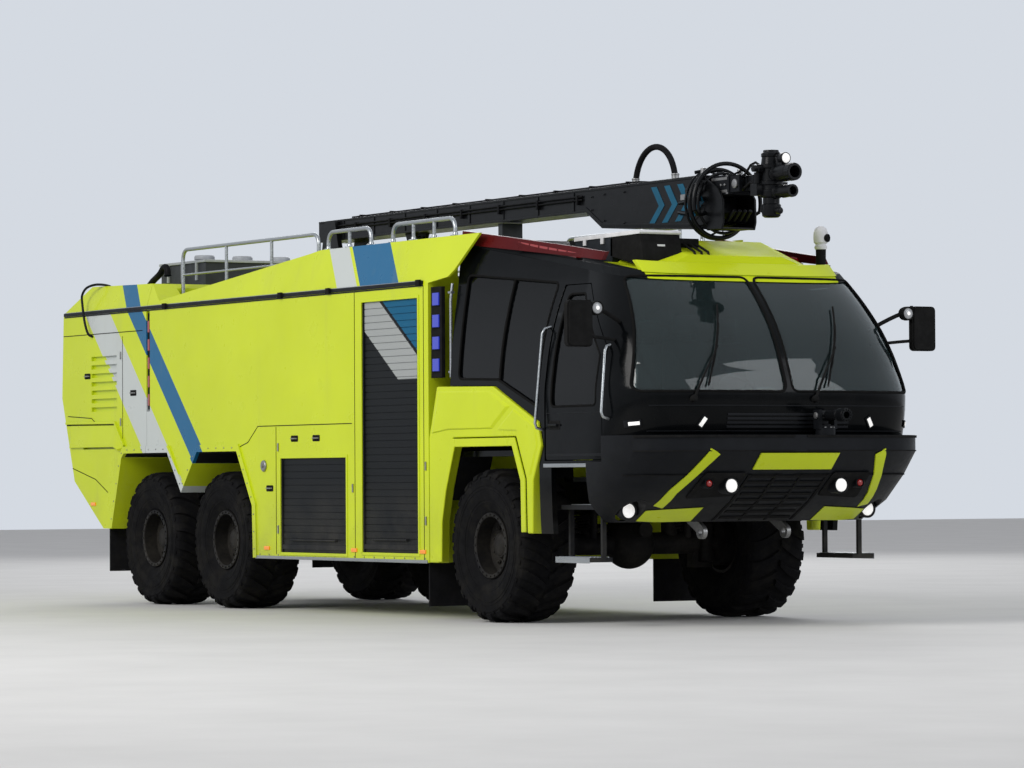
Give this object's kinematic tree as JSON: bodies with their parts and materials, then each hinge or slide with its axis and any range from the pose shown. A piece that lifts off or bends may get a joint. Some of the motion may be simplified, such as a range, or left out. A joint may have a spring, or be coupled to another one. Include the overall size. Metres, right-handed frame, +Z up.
{
  "type": "airport fire truck",
  "caption": "Three-axle airport fire truck with a wraparound cab, water tank body with roller shutters, roof boom with nozzle head and bumper turret; wheels roll and steer, doors and boom move.",
  "frame": {"origin": "on the ground under the middle of the vehicle's length and width", "axes": "+X forward, +Y to the vehicle's left, +Z up"},
  "size_m": [12.35, 3.8, 4.2979],
  "materials": {
    "body_yellow": "gloss fluorescent yellow-green paint",
    "black_gloss": "gloss black paint",
    "charcoal_metal": "satin charcoal paint",
    "shutter": "anodised charcoal aluminium slats",
    "frame_black": "satin black chassis paint",
    "engine_grey": "cast iron",
    "tyre": "matte tyre rubber",
    "rim_black": "satin black steel rim",
    "flap_rubber": "matte rubber",
    "glass": "tinted safety glass",
    "lamp": "clear and blue lamp lenses",
    "seat_fabric": "woven dark seat cloth",
    "dash_plastic": "grained plastic",
    "mirror_black": "moulded plastic",
    "rail_metal": "brushed stainless tube",
    "equipment_grey": "satin grey paint",
    "boom_black": "satin black paint",
    "boom_steel": "bare steel",
    "hose_rubber": "rubber hose",
    "rod_chrome": "hard chrome",
    "tow_steel": "grey painted steel"
  },
  "bodies": {
    "root": {"chassis_frame": "frame_black", "engine_block": "engine_grey", "front_axle": "frame_black", "rear_axles": "frame_black", "body_tank": "body_yellow", "body_rear": "body_yellow", "roller_shutters": "shutter", "lamps": "lamp", "cab_shell": "black_gloss", "cab_roof": "body_yellow", "windscreen": "glass", "side_glass": "glass", "bumper": "charcoal_metal", "fenders": "body_yellow", "mudflaps": "flap_rubber", "entry_steps": "charcoal_metal", "seats": "seat_fabric", "dashboard": "dash_plastic", "mirrors": "mirror_black", "handrails": "rail_metal", "roof_equipment": "equipment_grey", "tow_eyes": "tow_steel"},
    "knuckle_right": {"knuckle_right": "frame_black"},
    "knuckle_left": {"knuckle_left": "frame_black"},
    "wheel_front_right": {"rim_front_right": "rim_black", "tyre_front_right": "tyre"},
    "wheel_front_left": {"rim_front_left": "rim_black", "tyre_front_left": "tyre"},
    "wheel_middle_right": {"rim_middle_right": "rim_black", "tyre_middle_right": "tyre"},
    "wheel_middle_left": {"rim_middle_left": "rim_black", "tyre_middle_left": "tyre"},
    "wheel_rear_right": {"rim_rear_right": "rim_black", "tyre_rear_right": "tyre"},
    "wheel_rear_left": {"rim_rear_left": "rim_black", "tyre_rear_left": "tyre"},
    "door_right": {"door_right": "black_gloss", "door_glass_right": "glass"},
    "door_left": {"door_left": "black_gloss", "door_glass_left": "glass"},
    "boom_turntable": {"boom_turntable": "boom_black"},
    "boom": {"boom_main": "boom_black", "hose_loop": "hose_rubber"},
    "boom_slide": {"boom_extension": "boom_steel"},
    "boom_head": {"boom_head": "boom_black"},
    "lift_barrel": {"lift_barrel": "boom_black"},
    "lift_rod": {"lift_rod": "rod_chrome"},
    "turret_base": {"turret_base": "charcoal_metal"},
    "turret_nozzle": {"turret_nozzle": "boom_black"}
  },
  "joints": [
    {"name": "steer_right", "type": "hinge", "parent": "root", "child": "knuckle_right", "pos_m": [3.1, -0.82, 0.686], "axis": [0, 0, 1], "range_deg": [-28, 28]},
    {"name": "steer_left", "type": "hinge", "parent": "root", "child": "knuckle_left", "pos_m": [3.1, 0.82, 0.686], "axis": [0, 0, 1], "range_deg": [-28, 28]},
    {"name": "roll_front_right", "type": "hinge", "parent": "knuckle_right", "child": "wheel_front_right", "pos_m": [3.1, -1.2, 0.686], "axis": [0, 1, 0], "continuous": true},
    {"name": "roll_front_left", "type": "hinge", "parent": "knuckle_left", "child": "wheel_front_left", "pos_m": [3.1, 1.2, 0.686], "axis": [0, 1, 0], "continuous": true},
    {"name": "roll_middle_right", "type": "hinge", "parent": "root", "child": "wheel_middle_right", "pos_m": [-2.3, -1.2, 0.686], "axis": [0, 1, 0], "continuous": true},
    {"name": "roll_middle_left", "type": "hinge", "parent": "root", "child": "wheel_middle_left", "pos_m": [-2.3, 1.2, 0.686], "axis": [0, 1, 0], "continuous": true},
    {"name": "roll_rear_right", "type": "hinge", "parent": "root", "child": "wheel_rear_right", "pos_m": [-3.99, -1.2, 0.686], "axis": [0, 1, 0], "continuous": true},
    {"name": "roll_rear_left", "type": "hinge", "parent": "root", "child": "wheel_rear_left", "pos_m": [-3.99, 1.2, 0.686], "axis": [0, 1, 0], "continuous": true},
    {"name": "door_right_open", "type": "hinge", "parent": "root", "child": "door_right", "pos_m": [5.124, -1.512, 2], "axis": [0, 0, 1], "range_deg": [0, 70]},
    {"name": "door_left_open", "type": "hinge", "parent": "root", "child": "door_left", "pos_m": [5.124, 1.512, 2], "axis": [0, 0, -1], "range_deg": [0, 70]},
    {"name": "boom_slew", "type": "hinge", "parent": "root", "child": "boom_turntable", "pos_m": [-2.4, 0, 3.12], "axis": [0, 0, 1], "range_deg": [-30, 30]},
    {"name": "boom_lift", "type": "hinge", "parent": "boom_turntable", "child": "boom", "pos_m": [-2.4, 0, 3.825], "axis": [0, -1, 0], "range_deg": [0, 50]},
    {"name": "boom_extend", "type": "slide", "parent": "boom", "child": "boom_slide", "axis": [1, 0, 0], "range_m": [0, 3]},
    {"name": "head_tilt", "type": "hinge", "parent": "boom_slide", "child": "boom_head", "pos_m": [5.11, 0, 3.825], "axis": [0, -1, 0], "range_deg": [-45, 60]},
    {"name": "lift_barrel_swing", "type": "hinge", "parent": "boom_turntable", "child": "lift_barrel", "pos_m": [-1.88, 0, 3.33], "axis": [0, -1, 0], "range_deg": [0, 51.13]},
    {"name": "lift_rod_slide", "type": "slide", "parent": "lift_barrel", "child": "lift_rod", "axis": [0.9492, 0, 0.3148], "range_m": [0, 0.60628]},
    {"name": "turret_pan", "type": "hinge", "parent": "root", "child": "turret_base", "pos_m": [5.85, 0.3, 1.64], "axis": [0, 0, 1], "range_deg": [-45, 45]},
    {"name": "turret_tilt", "type": "hinge", "parent": "turret_base", "child": "turret_nozzle", "pos_m": [5.85, 0.3, 1.805], "axis": [0, -1, 0], "range_deg": [-15, 60]}
  ],
  "couplings": [
    {"joint": "steer_left", "follows": "steer_right", "ratio": 1},
    {"joint": "lift_barrel_swing", "follows": "boom_lift", "ratio": 1.0227},
    {"joint": "lift_rod_slide", "follows": "boom_lift", "m_per_rad": 0.69472}
  ]
}
